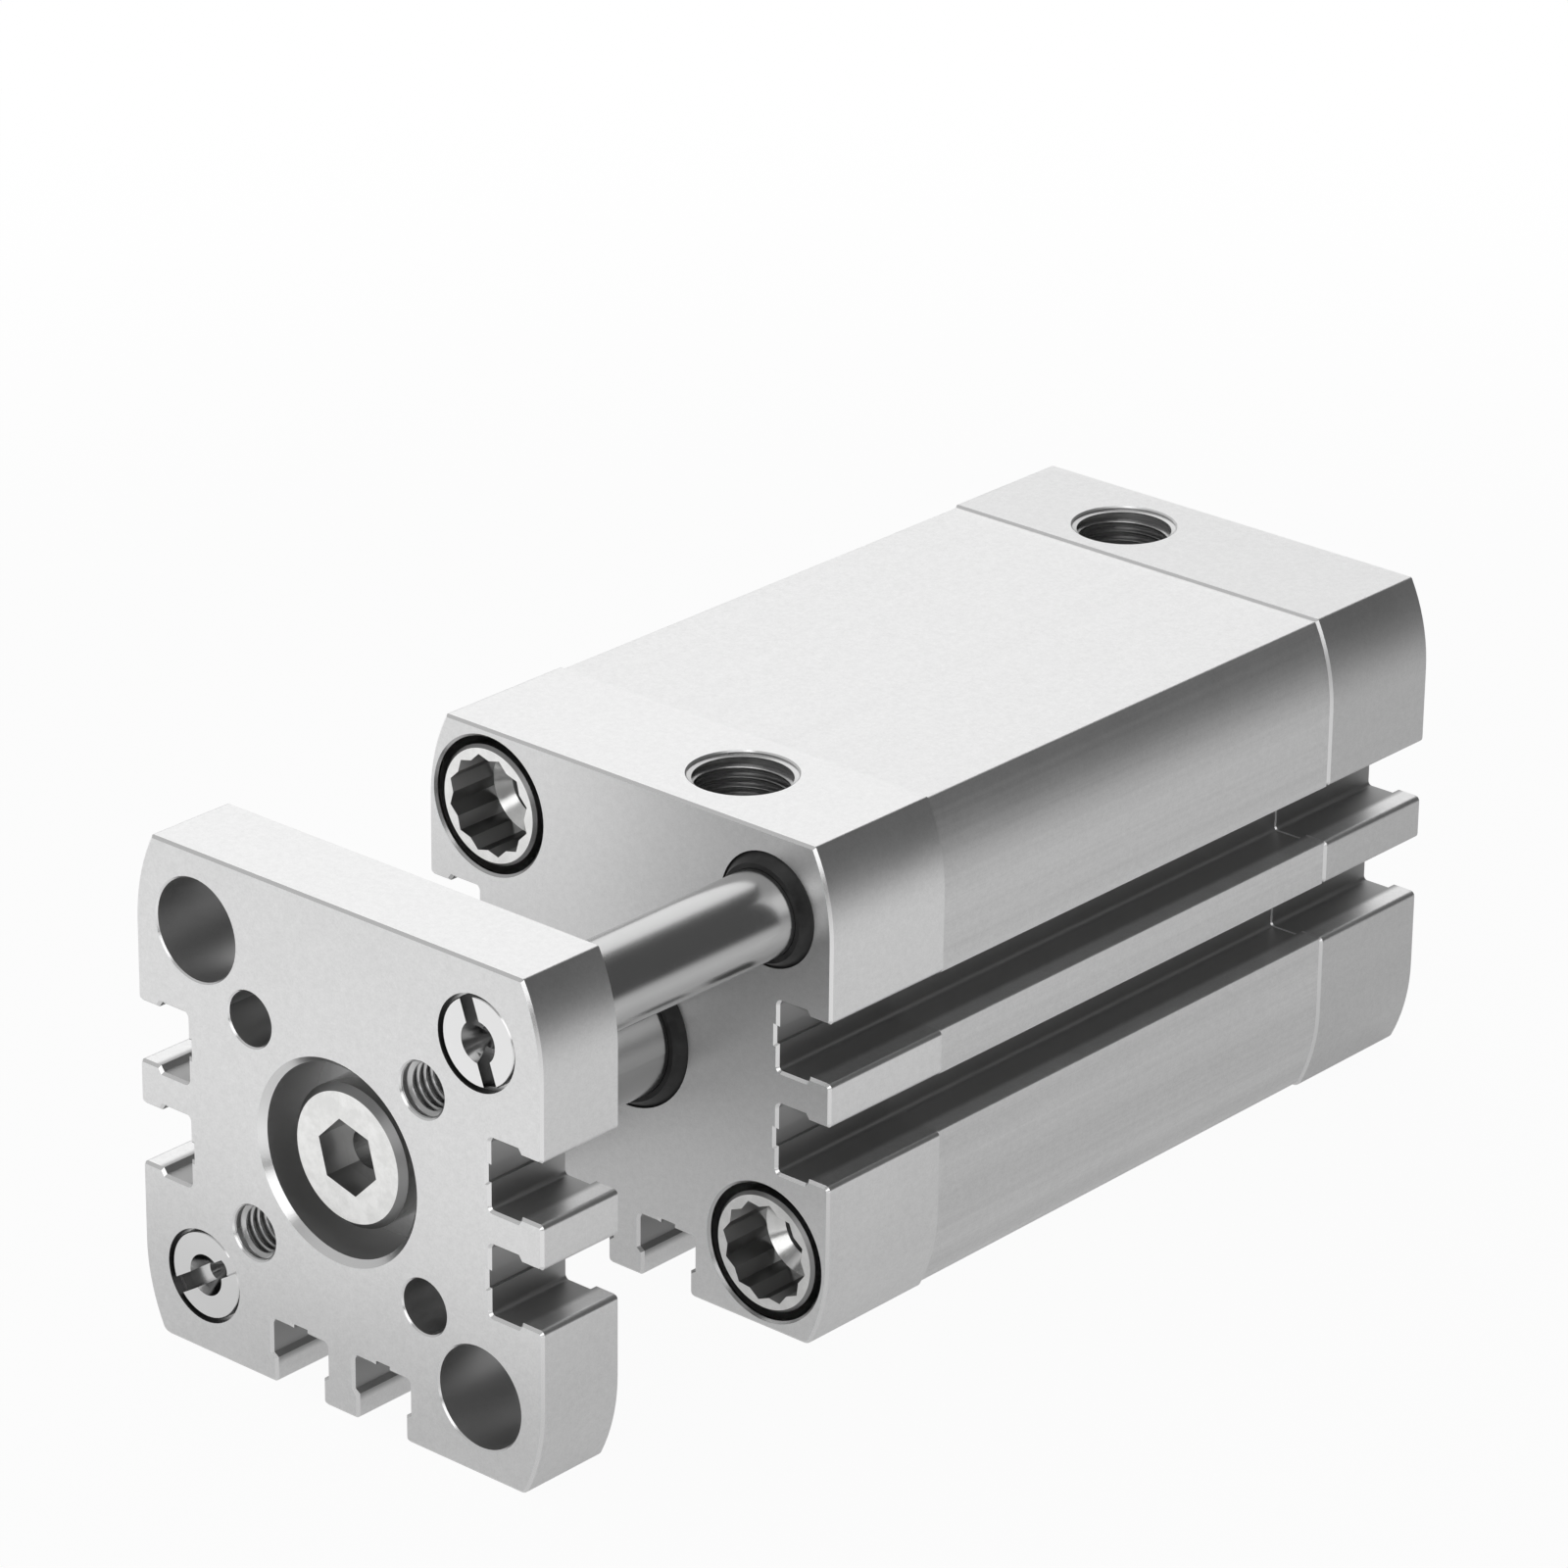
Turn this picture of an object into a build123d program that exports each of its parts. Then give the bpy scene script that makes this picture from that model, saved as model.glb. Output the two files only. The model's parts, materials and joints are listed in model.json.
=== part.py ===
from build123d import *
import os
from math import sqrt

# Guided pneumatic cylinder: a square profile housing, a piston rod, two guide rods on one diagonal
# and a yoke plate that joins all three.
# X runs to the right, Y from the yoke plate back to the rear face, Z up, in millimetres.
# The origin is the middle of the rear mounting face, on the rod's axis.
# The pieces stand as they do with the rod about half way out.

# Travel
stroke = 40.0
rest_extension = 20.3          # how far the rod is out in this position
retracted_gap = 6.0            # between plate and housing with the rod in

# Square profile, shared by the caps, the barrel and the yoke plate
profile_size = 47.0
flank_flat_half = 15.0         # half height of the flat part of each flank
flank_radius = 18.0
top_edge_radius = 0.3
foot_edge_radius = 1.0
end_chamfer = 0.25
joint_chamfer = 0.3
barrel_inset = 0.2             # the barrel's outline lies this far inside the caps'
fixing_offset = 16.25          # corner fixings, from the axis both ways

# Sensor slots, two on each flank and two below
slot_offset = 4.85
slot_mouth_width = 5.5
slot_width = 6.5
slot_lip = 2.4                 # straight part of the lip, before the shoulder slopes out
slot_shoulder = 2.75           # how deep the full width starts
slot_floor_wall = 1.6          # between slot floor and bore
slot_floor_radius = 0.4
slot_groove_width = 1.6        # along the middle of the slot's floor
slot_groove_depth = 0.3
cap_lip_radius = 0.5
barrel_lip_radius = 0.1

# Lengths along the axis
cap_length = 14.7
piston_length = 8.7
spigot_length = 2.6
plate_thickness = 9.3

# Bores and rods
bore_radius = 16.0
rod_radius = 6.0
guide_radius = 4.0

# Clearances
seat_clearance = 0.02          # pieces pressed or glued into a seat
rod_clearance = 0.03           # rods in their bushes and wipers
bore_clearance = 0.05          # what slides in the bore
thread_clearance = 0.05
stop_clearance = 0.05          # piston to cushion at each end of the travel
overcut = 1.0                  # how far a cutter stands out of what it cuts

# Cap insides
spigot_clearance = 0.05
air_radius = 12.0
air_depth = 7.3
rod_boss_radius = 8.6
cushion_step = 0.2             # from the air space out to the cushion
cushion_width = 1.9
cushion_thickness = 0.9
cushion_proud = 0.3
cap_ring_groove_floor = 15.0
cap_ring_groove_width = 1.1
cap_ring_wall = 0.75           # spigot wall in front of the ring's groove
cap_ring_squash = 0.03

# Rod seal, wipers and bushes
rod_seal_radius = 7.35
rod_seal_depth = 4.5
guide_wiper_radius = 5.25
guide_wiper_depth = 2.4
wiper_proud = 1.0
wiper_lip_width = 0.45
rod_bush_wall = 0.97
guide_bush_wall = 0.72

# Air ports
port_offset = 6.4
port_inset = 7.9
port_thread_radius = 4.864
port_thread_depth = 5.8
port_drill_radius = 4.28
port_depth = 8.5
port_chamfer = 0.14
passage_radius = 1.5
passage_inset = 3.5            # from the joint face of the cap

# Collar screws that hold the caps
collar_radius = 5.6
collar_length = 12.0
collar_pocket_radius = 6.6
collar_chamfer = 0.3
cap_screw_length = 24.0
cap_screw_thread_radius = 4.0
cap_screw_hole_radius = 4.3
socket_point_radius = 4.75
socket_cone_radius = 4.275
socket_depth = 5.2
fixing_thread_radius = 3.0
fixing_thread_mouth = 6.2
fixing_thread_depth = 11.2
socket_turn_front = (14.0, 23.0)
socket_turn_rear = (8.0, 19.0)
tapping_radius = 3.7
tapped_depth = 10.3

# Rear face
direct_fixing_depth = 12.0
fixing_chamfer = 0.35
centring_radius = 4.5
centring_depth = 2.1

# Guide rods
guide_overrun = 2.3            # what stays behind the bearing cap with the rod fully out
guide_channel_radius = 4.5
guide_channel_spare = 1.0
guide_recess = 0.2
guide_slot_width = 1.5
guide_slot_depth = 1.5
guide_centre_radius = 1.9
guide_centre_depth = 3.3
guide_edge = 0.1
guide_relief_width = 0.33      # round the rod's end in the yoke plate
guide_relief_depth = 0.9
guide_tail_chamfer = 0.6
guide_slot_turn = (110.0, 32.0)

# Yoke plate
yoke_pocket_radius = 8.75
yoke_pocket_chamfer = 0.6
access_hole_radius = 4.65
tool_hole_offset = 10.0
dowel_radius = 2.5
tool_thread_radius = 2.5
hole_chamfer = 0.15
rod_seat_depth = 0.8

# Yoke screw
yoke_head_radius = 6.5
yoke_head_height = 5.0
yoke_head_recess = 1.3
yoke_head_chamfer = 0.6
yoke_thread_radius = 4.0
yoke_hole_radius = 4.2
yoke_screw_length = 18.0
yoke_hex_flats = 6.0
yoke_hex_depth = 2.6
yoke_hex_turn = 45.0
yoke_pilot_radius = 1.9
yoke_pilot_depth = 4.2

# Piston
piston_gap = 0.5
piston_flange = 0.7
seal_groove_width = 2.1
seal_groove_floor = 12.2
seal_heel_play = 0.65          # the heel stands off the bore, the lip runs on it
seal_lip_land = 0.35
seal_lip_bevel = 0.2
seal_inner_lip = 1.0
piston_land = 0.4
magnet_thickness = 3.35
guide_band_thickness = 2.15
ring_side_play = 0.05
rod_spigot_radius = 4.5
rod_ring_floor = 5.5
rod_ring_depth = 1.05
piston_screw_radius = 3.0
piston_screw_head_radius = 5.4
piston_screw_head = 2.2
piston_screw_pocket_play = 0.2
piston_screw_length = 12.0
piston_screw_hex_flats = 4.0
piston_screw_hex_depth = 1.3

# Places along Y
barrel_length = stroke + piston_length + 2 * (spigot_length + cushion_proud + stop_clearance)
body_length = barrel_length + 2 * cap_length
rear_face = 0.0
rear_joint = rear_face - cap_length
front_joint = rear_joint - barrel_length
front_face = rear_face - body_length
plate_back = front_face - retracted_gap - rest_extension
plate_front = plate_back - plate_thickness
rear_stop = rear_joint - spigot_length - cushion_proud
piston_back = rear_stop - stop_clearance - rest_extension
piston_front = piston_back - piston_length
piston_middle = (piston_front + piston_back) / 2
guide_tail = front_joint + guide_overrun + stroke - rest_extension
guide_channel_end = guide_tail + rest_extension + guide_channel_spare
top_face = profile_size / 2

# Sizes that follow from the ones above
slot_depth = top_face - bore_radius - slot_floor_wall
cushion_inner_radius = air_radius + cushion_step
cushion_outer_radius = cushion_inner_radius + cushion_width
guide_band_radius = bore_radius - bore_clearance
magnet_outer_radius = guide_band_radius - guide_band_thickness - ring_side_play
magnet_inner_radius = magnet_outer_radius - magnet_thickness
rod_bush_radius = rod_radius + rod_clearance + rod_bush_wall
guide_bush_radius = guide_radius + rod_clearance + guide_bush_wall

screw_corners = ((-fixing_offset, fixing_offset), (fixing_offset, -fixing_offset))
guide_corners = ((fixing_offset, fixing_offset), (-fixing_offset, -fixing_offset))


def station(y):
    # a section plane across the axis, X right and Z up, facing the front
    return Plane(origin=(0, y, 0), x_dir=(1, 0, 0), z_dir=(0, -1, 0))


def prism(sketch, front, back):
    return extrude(station(back) * sketch, amount=back - front)


def turned(points, x=0, z=0):
    # a solid of revolution about a line along Y, from (radius, y) points
    return Pos(x, 0, z) * revolve(make_face(Polyline(*points, close=True)), Axis.Y)


def bar(radius, front, back, x=0, z=0, front_chamfer=0, back_chamfer=0):
    points = [(0, front), (radius - front_chamfer, front)]
    if front_chamfer:
        points.append((radius, front + front_chamfer))
    if back_chamfer:
        points.append((radius, back - back_chamfer))
    points += [(radius - back_chamfer, back), (0, back)]
    return turned(points, x, z)


def drill(radius, mouth, end, x=0, z=0, chamfer=0, tip=0):
    # a cutter that goes in at mouth and stops at end, with a countersink and a drill point if asked
    inward = 1 if end > mouth else -1
    start = mouth - inward * overcut
    points = [(0, start), (radius + (chamfer + overcut if chamfer else 0), start)]
    if chamfer:
        points.append((radius, mouth + inward * chamfer))
    points += [(radius, end), (0, end + inward * tip)]
    return turned(points, x, z)


def ring(inner, outer, front, back):
    return turned([(inner, front), (outer, front), (outer, back), (inner, back)])


def round_ring(inner, outer, y):
    # a rubber ring of round section that fills the groove between two radii
    section_radius = (outer - inner) / 2 - cap_ring_squash
    section = Pos((inner + outer) / 2, y) * Circle(section_radius)
    return revolve(section, Axis.Y)


def slot_section():
    # one sensor slot, its mouth on the line y = 0 and its floor below
    mouth = slot_mouth_width / 2
    wide = slot_width / 2
    half = [(mouth, overcut), (mouth, -slot_lip), (wide, -slot_shoulder), (wide, -slot_depth)]
    other = [(-u, v) for u, v in reversed(half)]
    section = make_face(Polyline(*half, *other, close=True))
    section = fillet(section.vertices().group_by(Axis.Y)[0], slot_floor_radius)
    return section + Pos(0, -slot_depth) * Rectangle(slot_groove_width, 2 * slot_groove_depth)


def profile_section(inset, lip_radius):
    # flat top and foot, flanks that bow in towards them, and six slots
    half = top_face - inset
    bow_radius = flank_radius - inset
    outline = Rectangle(2 * half, 2 * half)
    outline &= RectangleRounded(2 * half, 2 * (flank_flat_half + bow_radius), bow_radius)
    corners = outline.vertices().group_by(Axis.Y)
    outline = fillet(corners[-1], top_edge_radius)
    outline = fillet(outline.vertices().group_by(Axis.Y)[0], foot_edge_radius)
    for turn in (-90, 90, 180):
        for side in (-slot_offset, slot_offset):
            outline -= Rot(0, 0, turn) * Pos(side, top_face) * slot_section()
    reach = slot_offset + slot_mouth_width
    mouths = [v for v in outline.vertices()
              if max(abs(v.X), -v.Y) > half - lip_radius and min(abs(v.X), abs(v.Y)) < reach]
    return fillet(mouths, lip_radius)


def end_edges(solid, front=True):
    faces = solid.faces().sort_by(Axis.Y)
    return (faces[0] if front else faces[-1]).outer_wire().edges()


def profile_bar(front, back, front_chamfer, back_chamfer, inset=0, lip_radius=cap_lip_radius):
    solid = prism(profile_section(inset, lip_radius), front, back)
    if front_chamfer:
        solid = chamfer(end_edges(solid, True), front_chamfer)
    if back_chamfer:
        solid = chamfer(end_edges(solid, False), back_chamfer)
    return solid


def port_cut(x, y, joint):
    # threaded mouth, tapping drill below it, and the passage on to the air space behind
    depths = [(0, -overcut), (port_thread_radius + port_chamfer + overcut, -overcut),
              (port_thread_radius, port_chamfer), (port_thread_radius, port_thread_depth),
              (port_drill_radius, port_thread_depth), (port_drill_radius, port_depth),
              (0, port_depth)]
    mouth = Pos(x, y, top_face) * Rot(-90, 0, 0) * turned(depths)
    passage_y = joint + (passage_inset if y > joint else -passage_inset)
    air_top = sqrt(air_radius ** 2 - port_offset ** 2)
    low = air_top - overcut
    high = top_face - port_depth + overcut
    return mouth + Pos(x, passage_y, (low + high) / 2) * Cylinder(passage_radius, high - low)


def cap_blank(outer, joint, outer_chamfer, inner_chamfer):
    # cap body with the spigot that enters the bore, its ring groove and its cushion seat
    inward = 1 if joint > outer else -1
    tip = joint + inward * spigot_length
    radius = bore_radius - spigot_clearance
    if inward > 0:
        solid = profile_bar(outer, joint, outer_chamfer, inner_chamfer)
    else:
        solid = profile_bar(joint, outer, inner_chamfer, outer_chamfer)
    solid += bar(radius, min(joint - inward * overcut, tip), max(joint - inward * overcut, tip))
    groove_end = tip - inward * cap_ring_wall
    groove_start = groove_end - inward * cap_ring_groove_width
    solid -= ring(cap_ring_groove_floor, bore_radius + overcut,
                  min(groove_start, groove_end), max(groove_start, groove_end))
    seat = tip - inward * (cushion_thickness - cushion_proud)
    reach = tip + inward * overcut
    solid -= ring(air_radius - seat_clearance, cushion_outer_radius + seat_clearance,
                  min(seat, reach), max(seat, reach))
    return solid


def bearing_cap():
    solid = cap_blank(front_face, front_joint, end_chamfer, 0)
    tip = front_joint + spigot_length
    solid -= ring(rod_boss_radius, air_radius, tip - air_depth, tip + overcut)
    solid -= bar(rod_boss_radius + overcut, front_joint, tip + overcut)
    solid -= drill(rod_seal_radius + seat_clearance, front_face, front_face + rod_seal_depth)
    solid -= bar(rod_bush_radius + seat_clearance, front_face, front_joint + overcut)
    for x, z in guide_corners:
        solid -= drill(guide_wiper_radius + seat_clearance, front_face,
                       front_face + guide_wiper_depth, x, z)
        solid -= bar(guide_bush_radius + seat_clearance, front_face, front_joint + overcut, x, z)
    for x, z in screw_corners:
        solid -= drill(collar_pocket_radius, front_face, front_face + collar_length, x, z)
        solid -= bar(cap_screw_hole_radius, front_face, front_joint + overcut, x, z)
    return solid - port_cut(port_offset, front_face + port_inset, front_joint)


def end_cap():
    solid = cap_blank(rear_face, rear_joint, end_chamfer, joint_chamfer)
    tip = rear_joint - spigot_length
    solid -= bar(air_radius, tip - overcut, tip + air_depth)
    solid -= drill(centring_radius, rear_face, rear_face - centring_depth)
    for x, z in guide_corners:
        solid -= drill(collar_pocket_radius, rear_face, rear_face - collar_length, x, z)
        solid -= bar(cap_screw_hole_radius, rear_joint - overcut, rear_face, x, z)
    for x, z in screw_corners:
        solid -= drill(fixing_thread_radius, rear_face, rear_face - direct_fixing_depth, x, z,
                       fixing_chamfer, fixing_thread_radius / sqrt(3))
    return solid - port_cut(-port_offset, rear_face - port_inset, rear_joint)


def barrel():
    solid = profile_bar(front_joint, rear_joint, 0, 0, barrel_inset, barrel_lip_radius)
    solid -= bar(bore_radius, front_joint - overcut, rear_joint + overcut)
    tapped = cap_screw_thread_radius + thread_clearance
    for x, z in screw_corners + guide_corners:
        solid -= bar(tapping_radius, front_joint - overcut, rear_joint + overcut, x, z)
    for x, z in screw_corners:
        solid -= drill(tapped, front_joint, front_joint + tapped_depth, x, z)
    for x, z in guide_corners:
        solid -= drill(tapped, rear_joint, rear_joint - tapped_depth, x, z)
        solid -= drill(guide_channel_radius, front_joint, guide_channel_end, x, z)
    return solid


def cap_ring(joint, inward):
    middle = joint + inward * (spigot_length - cap_ring_wall - cap_ring_groove_width / 2)
    return round_ring(cap_ring_groove_floor, bore_radius, middle)


def cushion(joint, inward):
    stop = joint + inward * (spigot_length + cushion_proud)
    root = stop - inward * cushion_thickness
    return ring(cushion_inner_radius, cushion_outer_radius, min(stop, root), max(stop, root))


def wiper(inner, outer, depth, x=0, z=0):
    # a black sealing ring with a tapered lip proud of the cap and a grease groove inside
    lip = front_face - wiper_proud
    back = front_face + depth
    shoulder = outer - wiper_lip_width / 2
    relief = inner + wiper_lip_width
    return turned([(inner, lip), (inner + wiper_lip_width, lip), (shoulder, front_face),
                   (outer, front_face + wiper_lip_width / 2), (outer, back), (inner, back),
                   (inner, back - depth / 4), (relief, back - depth / 3),
                   (relief, front_face + depth / 3), (inner, front_face + depth / 6)], x, z)


def cap_screw(x, z, face, inward, turn):
    # collar screw with a twelve-point socket and an inner thread for fixing the cylinder
    def along(distance):
        return face + inward * distance

    inner_tip = fixing_thread_radius / sqrt(3)
    seat = collar_length
    tip_chamfer = cap_screw_thread_radius - tapping_radius + thread_clearance
    profile = [(0, 0), (collar_radius - collar_chamfer, 0), (collar_radius, collar_chamfer),
               (collar_radius, seat), (cap_screw_thread_radius, seat),
               (cap_screw_thread_radius, cap_screw_length - tip_chamfer),
               (cap_screw_thread_radius - tip_chamfer, cap_screw_length), (0, cap_screw_length)]
    solid = turned([(r, along(d)) for r, d in profile], x, z)
    hollow = [(0, socket_depth), (socket_cone_radius, socket_depth),
              (fixing_thread_radius, fixing_thread_mouth), (fixing_thread_radius, fixing_thread_depth),
              (0, fixing_thread_depth + inner_tip)]
    solid -= turned([(r, along(d)) for r, d in hollow], x, z)
    star = RegularPolygon(socket_point_radius, 6) + Rot(0, 0, 30) * RegularPolygon(
        socket_point_radius, 6)
    ends = sorted((along(-overcut), along(socket_depth)))
    return solid - Pos(x, 0, z) * prism(Rot(0, 0, turn) * star, *ends)


def guide_rod(x, z, turn):
    head = plate_front + guide_recess
    solid = bar(guide_radius, head, guide_tail, x, z, guide_edge, guide_tail_chamfer)
    slot = Rot(0, 0, turn) * Rectangle(2 * guide_radius + overcut, guide_slot_width)
    solid -= Pos(x, 0, z) * prism(slot, head - overcut, head + guide_slot_depth)
    centre = turned([(0, head), (guide_centre_radius, head), (0, head + guide_centre_depth)], x, z)
    return solid - centre


def yoke_plate():
    solid = profile_bar(plate_front, plate_back, end_chamfer, end_chamfer)
    pocket = plate_front + yoke_head_recess + yoke_head_height
    through = plate_back + overcut
    solid -= drill(yoke_pocket_radius, plate_front, pocket, 0, 0, yoke_pocket_chamfer)
    solid -= bar(yoke_hole_radius, plate_front, through)
    solid -= drill(rod_radius + seat_clearance, plate_back, plate_back - rod_seat_depth)
    for x, z in screw_corners:
        solid -= drill(access_hole_radius, plate_front, through, x, z, hole_chamfer)
    relief = guide_radius + guide_relief_width
    for x, z in guide_corners:
        solid -= drill(guide_radius + seat_clearance, plate_front, through, x, z)
        solid -= drill(relief, plate_front, plate_front + guide_relief_depth, x, z)
    for side in (-tool_hole_offset, tool_hole_offset):
        solid -= drill(dowel_radius, plate_front, through, side, -side, hole_chamfer)
        solid -= drill(tool_thread_radius, plate_front, through, side, side, hole_chamfer)
    return solid


def yoke_screw():
    face = plate_front + yoke_head_recess
    seat = face + yoke_head_height
    solid = bar(yoke_head_radius, face, seat, 0, 0, yoke_head_chamfer)
    solid += bar(yoke_thread_radius, seat - overcut, seat + yoke_screw_length, 0, 0, 0, end_chamfer)
    hexagon = Rot(0, 0, 90 - yoke_hex_turn) * RegularPolygon(yoke_hex_flats / sqrt(3), 6)
    solid -= prism(hexagon, face - overcut, face + yoke_hex_depth)
    return solid - drill(yoke_pilot_radius, face, face + yoke_pilot_depth)


def piston_rod():
    shoulder = piston_front
    end = piston_back - piston_screw_head
    front = plate_back - rod_seat_depth
    screw_end = plate_front + yoke_head_recess + yoke_head_height + yoke_screw_length
    solid = bar(rod_radius, front, shoulder, 0, 0, end_chamfer)
    solid += bar(rod_spigot_radius, shoulder - overcut, end)
    solid -= drill(yoke_thread_radius + thread_clearance, front, screw_end + overcut)
    bolt_end = piston_back - piston_screw_head - piston_screw_length
    return solid - drill(piston_screw_radius + thread_clearance, end, bolt_end - overcut)


def piston_half(outer, inward):
    # one disc of the piston: flange, seal groove, land, and half the seat of magnet and band
    full = bore_radius - piston_gap
    bore = rod_spigot_radius + seat_clearance
    groove = outer + inward * piston_flange
    land = groove + inward * seal_groove_width
    seat = land + inward * piston_land
    return turned([(bore, outer), (full, outer), (full, groove), (seal_groove_floor, groove),
                   (seal_groove_floor, land), (full, land), (full, seat),
                   (magnet_inner_radius, seat), (magnet_inner_radius, piston_middle),
                   (bore, piston_middle)])


def piston_front_disc():
    solid = piston_half(piston_front, 1)
    return solid - drill(rod_ring_floor, piston_middle, piston_middle - rod_ring_depth)


def piston_rear_disc():
    pocket = piston_screw_head_radius + piston_screw_pocket_play
    solid = piston_half(piston_back, -1)
    return solid - drill(pocket, piston_back, piston_back - piston_screw_head)


def piston_seal(outer, inward):
    # cup seal whose lips open towards the pressure
    play = ring_side_play
    open_side = outer + inward * (piston_flange + play)
    heel = outer + inward * (piston_flange + seal_groove_width - play)
    floor = seal_groove_floor + play
    lip = bore_radius - bore_clearance
    middle = (floor + lip) / 2
    notch = open_side + inward * seal_groove_width / 2
    return turned([(floor, heel), (lip - seal_heel_play, heel),
                   (lip, open_side + inward * seal_lip_bevel), (lip - seal_lip_land, open_side),
                   (middle, notch), (middle - seal_inner_lip, open_side), (floor, open_side)])


def piston_ring_seat():
    # the space between the two discs, where magnet and guide band lie
    side = piston_flange + seal_groove_width + piston_land + ring_side_play
    return piston_front + side, piston_back - side


def piston_screw():
    seat = piston_back - piston_screw_head
    head = bar(piston_screw_head_radius, seat, piston_back, 0, 0, 0, end_chamfer)
    shank = bar(piston_screw_radius, seat - piston_screw_length, seat + end_chamfer, 0, 0, end_chamfer)
    hexagon = RegularPolygon(piston_screw_hex_flats / sqrt(3), 6)
    cut = prism(hexagon, piston_back - piston_screw_hex_depth, piston_back + overcut)
    return head + shank - cut


ring_front, ring_back = piston_ring_seat()

pieces = {
    "bearing_cap": bearing_cap(),
    "barrel": barrel(),
    "end_cap": end_cap(),
    "rod_bush": ring(rod_radius + rod_clearance, rod_bush_radius,
                     front_face + rod_seal_depth + ring_side_play, front_joint),
    "rod_seal": wiper(rod_radius + rod_clearance, rod_seal_radius, rod_seal_depth),
    "front_cap_ring": cap_ring(front_joint, 1),
    "rear_cap_ring": cap_ring(rear_joint, -1),
    "front_cushion": cushion(front_joint, 1),
    "rear_cushion": cushion(rear_joint, -1),
    "yoke_plate": yoke_plate(),
    "yoke_screw": yoke_screw(),
    "piston_rod": piston_rod(),
    "piston_front_disc": piston_front_disc(),
    "piston_rear_disc": piston_rear_disc(),
    "piston_seal_front": piston_seal(piston_front, 1),
    "piston_seal_rear": piston_seal(piston_back, -1),
    "magnet_ring": ring(magnet_inner_radius + ring_side_play, magnet_outer_radius,
                        ring_front, ring_back),
    "guide_band": ring(magnet_outer_radius + ring_side_play, guide_band_radius,
                       ring_front, ring_back),
    "rod_static_ring": round_ring(rod_spigot_radius, rod_ring_floor,
                                  piston_middle - rod_ring_depth / 2),
    "piston_screw": piston_screw(),
}

for level, corner, turn in zip(("upper", "lower"), guide_corners, guide_slot_turn):
    x, z = corner
    bush = ring(guide_radius + rod_clearance, guide_bush_radius,
                front_face + guide_wiper_depth + ring_side_play, front_joint)
    pieces[f"guide_bush_{level}"] = Pos(x, 0, z) * bush
    pieces[f"guide_wiper_{level}"] = wiper(guide_radius + rod_clearance, guide_wiper_radius,
                                           guide_wiper_depth, x, z)
    pieces[f"guide_rod_{level}"] = guide_rod(x, z, turn)

for level, corner, turn in zip(("upper", "lower"), screw_corners, socket_turn_front):
    pieces[f"front_screw_{level}"] = cap_screw(*corner, front_face, 1, turn)
for level, corner, turn in zip(("upper", "lower"), guide_corners, socket_turn_rear):
    pieces[f"rear_screw_{level}"] = cap_screw(*corner, rear_face, -1, turn)

os.makedirs("parts", exist_ok=True)
for name, solid in pieces.items():
    export_step(solid, f"parts/{name}.step")
    print(name, round(solid.volume, 1))
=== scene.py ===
import json
import math

import bpy
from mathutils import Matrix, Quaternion, Vector


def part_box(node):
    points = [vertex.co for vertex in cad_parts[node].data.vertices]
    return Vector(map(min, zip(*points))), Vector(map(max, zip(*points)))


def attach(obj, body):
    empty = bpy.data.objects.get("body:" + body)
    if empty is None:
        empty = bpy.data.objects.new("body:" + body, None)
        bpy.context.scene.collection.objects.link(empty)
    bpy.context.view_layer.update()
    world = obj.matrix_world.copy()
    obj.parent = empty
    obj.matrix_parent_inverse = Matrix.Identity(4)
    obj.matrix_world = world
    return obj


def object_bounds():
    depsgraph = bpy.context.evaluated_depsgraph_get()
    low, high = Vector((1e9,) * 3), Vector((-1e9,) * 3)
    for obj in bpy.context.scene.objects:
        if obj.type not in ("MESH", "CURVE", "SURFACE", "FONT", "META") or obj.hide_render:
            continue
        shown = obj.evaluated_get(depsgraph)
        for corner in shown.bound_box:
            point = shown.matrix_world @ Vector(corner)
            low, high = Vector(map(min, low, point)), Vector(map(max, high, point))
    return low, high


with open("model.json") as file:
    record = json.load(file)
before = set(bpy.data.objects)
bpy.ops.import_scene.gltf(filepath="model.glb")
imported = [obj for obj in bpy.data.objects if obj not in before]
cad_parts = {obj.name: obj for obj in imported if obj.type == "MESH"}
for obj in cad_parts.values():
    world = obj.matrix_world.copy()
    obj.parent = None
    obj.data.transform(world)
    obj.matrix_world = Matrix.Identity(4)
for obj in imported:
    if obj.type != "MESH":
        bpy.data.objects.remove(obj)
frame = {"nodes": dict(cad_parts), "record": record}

# Looks of the guided cylinder: its finishes, the threads in its holes, and the studio around it.
# Everything stands in metres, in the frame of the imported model. Sizes of finishes, recesses and
# threads are written in millimetres, those of the studio in metres.

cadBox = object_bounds()
nodes = frame["nodes"]
mm = 0.001
print("frame loaded,", len(nodes), "nodes")


def middle(node):
    low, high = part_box(node)
    return (low + high) / 2


def nothingSelected():
    bpy.ops.object.select_all(action="DESELECT")


nothingSelected()

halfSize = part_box("bearing_cap")[1].z           # half of the square section
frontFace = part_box("front_screw_upper")[0].y    # of the housing
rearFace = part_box("end_cap")[1].y
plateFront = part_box("yoke_plate")[0].y

portPlace = {"side": 6.4, "inset": 7.9}         # from the middle, and from the housing's end
portMouths = {
    "front": Vector((portPlace["side"] * mm, frontFace + portPlace["inset"] * mm, halfSize)),
    "rear": Vector((-portPlace["side"] * mm, rearFace - portPlace["inset"] * mm, halfSize)),
}


# Shader maths

xWay, yWay, zWay = (1, 0, 0), (0, 1, 0), (0, 0, 1)
xzPlane, xyPlane = (1, 0, 1), (1, 1, 0)     # keep a distance in that plane

# the Mix node has these sockets several times under one name
mixOfColours = {"first": 6, "second": 7, "result": 2}
mixOfVectors = {"first": 4, "second": 5, "result": 1}


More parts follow.
